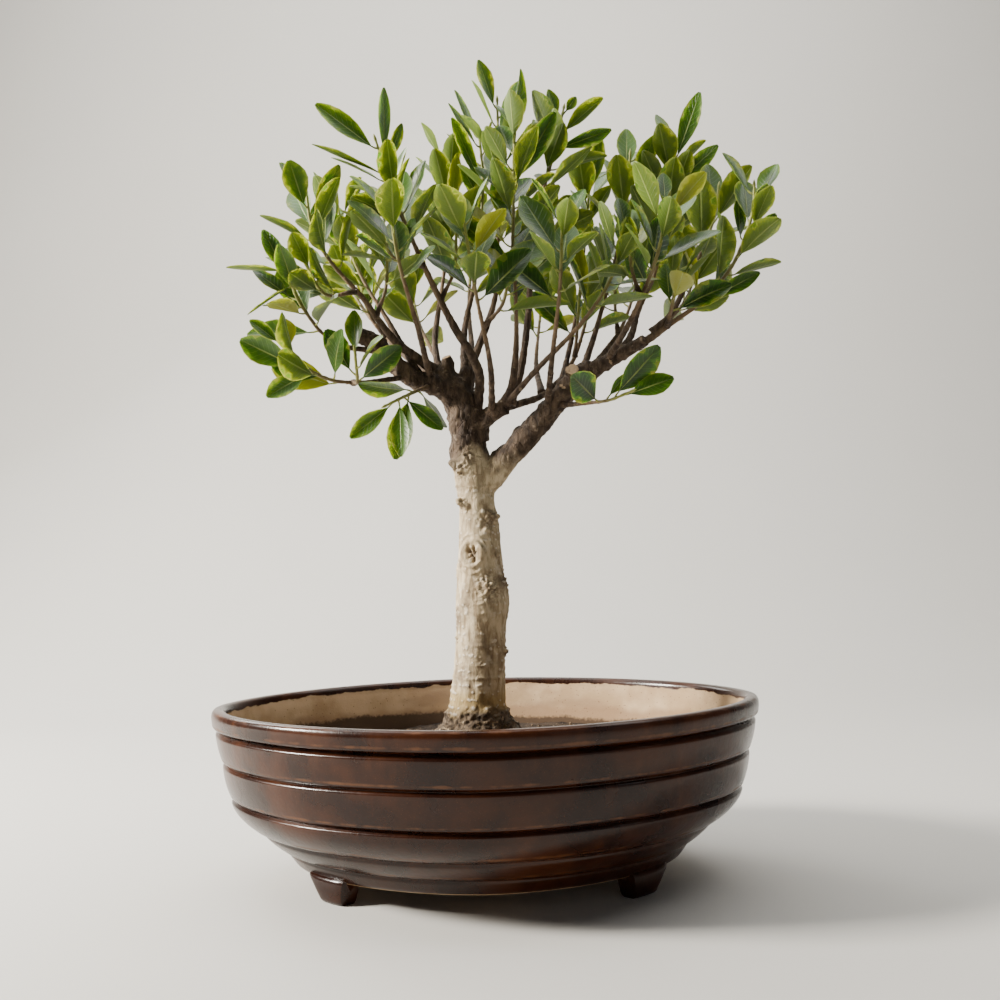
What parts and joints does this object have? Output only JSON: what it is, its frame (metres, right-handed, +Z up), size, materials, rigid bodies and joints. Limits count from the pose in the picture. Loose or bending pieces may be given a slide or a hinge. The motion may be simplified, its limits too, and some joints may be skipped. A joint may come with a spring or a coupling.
{
  "type": "potted bonsai tree",
  "caption": "Small fig tree grown as a bonsai, with a grey trunk, a forked crown of oval leaves and an oval brown glazed pot on four feet",
  "frame": {"origin": "on the floor under the middle of the whole outline, between the pot's four feet", "axes": "+X to the right along the pot's long side, +Y to the back of the tree, +Z up the trunk"},
  "size_m": [0.3653, 0.268, 0.5324],
  "materials": {
    "brown_glaze": "glossy glaze outside, bare clay inside",
    "black_plastic": "moulded mesh",
    "dark_soil": "damp crumbly soil with grit",
    "grey_bark": "pale grey bark, brown and rough on the limbs",
    "green_leaf": "waxy leaf, duller beneath"
  },
  "bodies": {
    "root": {"pot": "brown_glaze", "drain_screen_1": "black_plastic", "drain_screen_2": "black_plastic", "soil": "dark_soil", "trunk_and_branches": "grey_bark", "leafy_shoot_01": "green_leaf", "leafy_shoot_02": "green_leaf", "leafy_shoot_03": "green_leaf", "leafy_shoot_04": "green_leaf", "leafy_shoot_05": "green_leaf", "leafy_shoot_06": "green_leaf", "leafy_shoot_07": "green_leaf", "leafy_shoot_08": "green_leaf", "leafy_shoot_09": "green_leaf", "leafy_shoot_10": "green_leaf", "leafy_shoot_11": "green_leaf", "leafy_shoot_12": "green_leaf", "leafy_shoot_13": "green_leaf", "leafy_shoot_14": "green_leaf", "leafy_shoot_15": "green_leaf", "leafy_shoot_16": "green_leaf", "leafy_shoot_17": "green_leaf", "leafy_shoot_18": "green_leaf", "leafy_shoot_19": "green_leaf", "leafy_shoot_20": "green_leaf", "leafy_shoot_21": "green_leaf", "leafy_shoot_22": "green_leaf", "leafy_shoot_23": "green_leaf", "leafy_shoot_24": "green_leaf", "leafy_shoot_25": "green_leaf", "leafy_shoot_26": "green_leaf", "leafy_shoot_27": "green_leaf", "leafy_shoot_28": "green_leaf", "leafy_shoot_29": "green_leaf", "leafy_shoot_30": "green_leaf", "leafy_shoot_31": "green_leaf", "leafy_shoot_32": "green_leaf", "leafy_shoot_33": "green_leaf", "leafy_shoot_34": "green_leaf", "leafy_shoot_35": "green_leaf", "leafy_shoot_36": "green_leaf", "leafy_shoot_37": "green_leaf", "leafy_shoot_38": "green_leaf", "leafy_shoot_39": "green_leaf", "leafy_shoot_40": "green_leaf", "leafy_shoot_41": "green_leaf"}
  },
  "joints": []
}
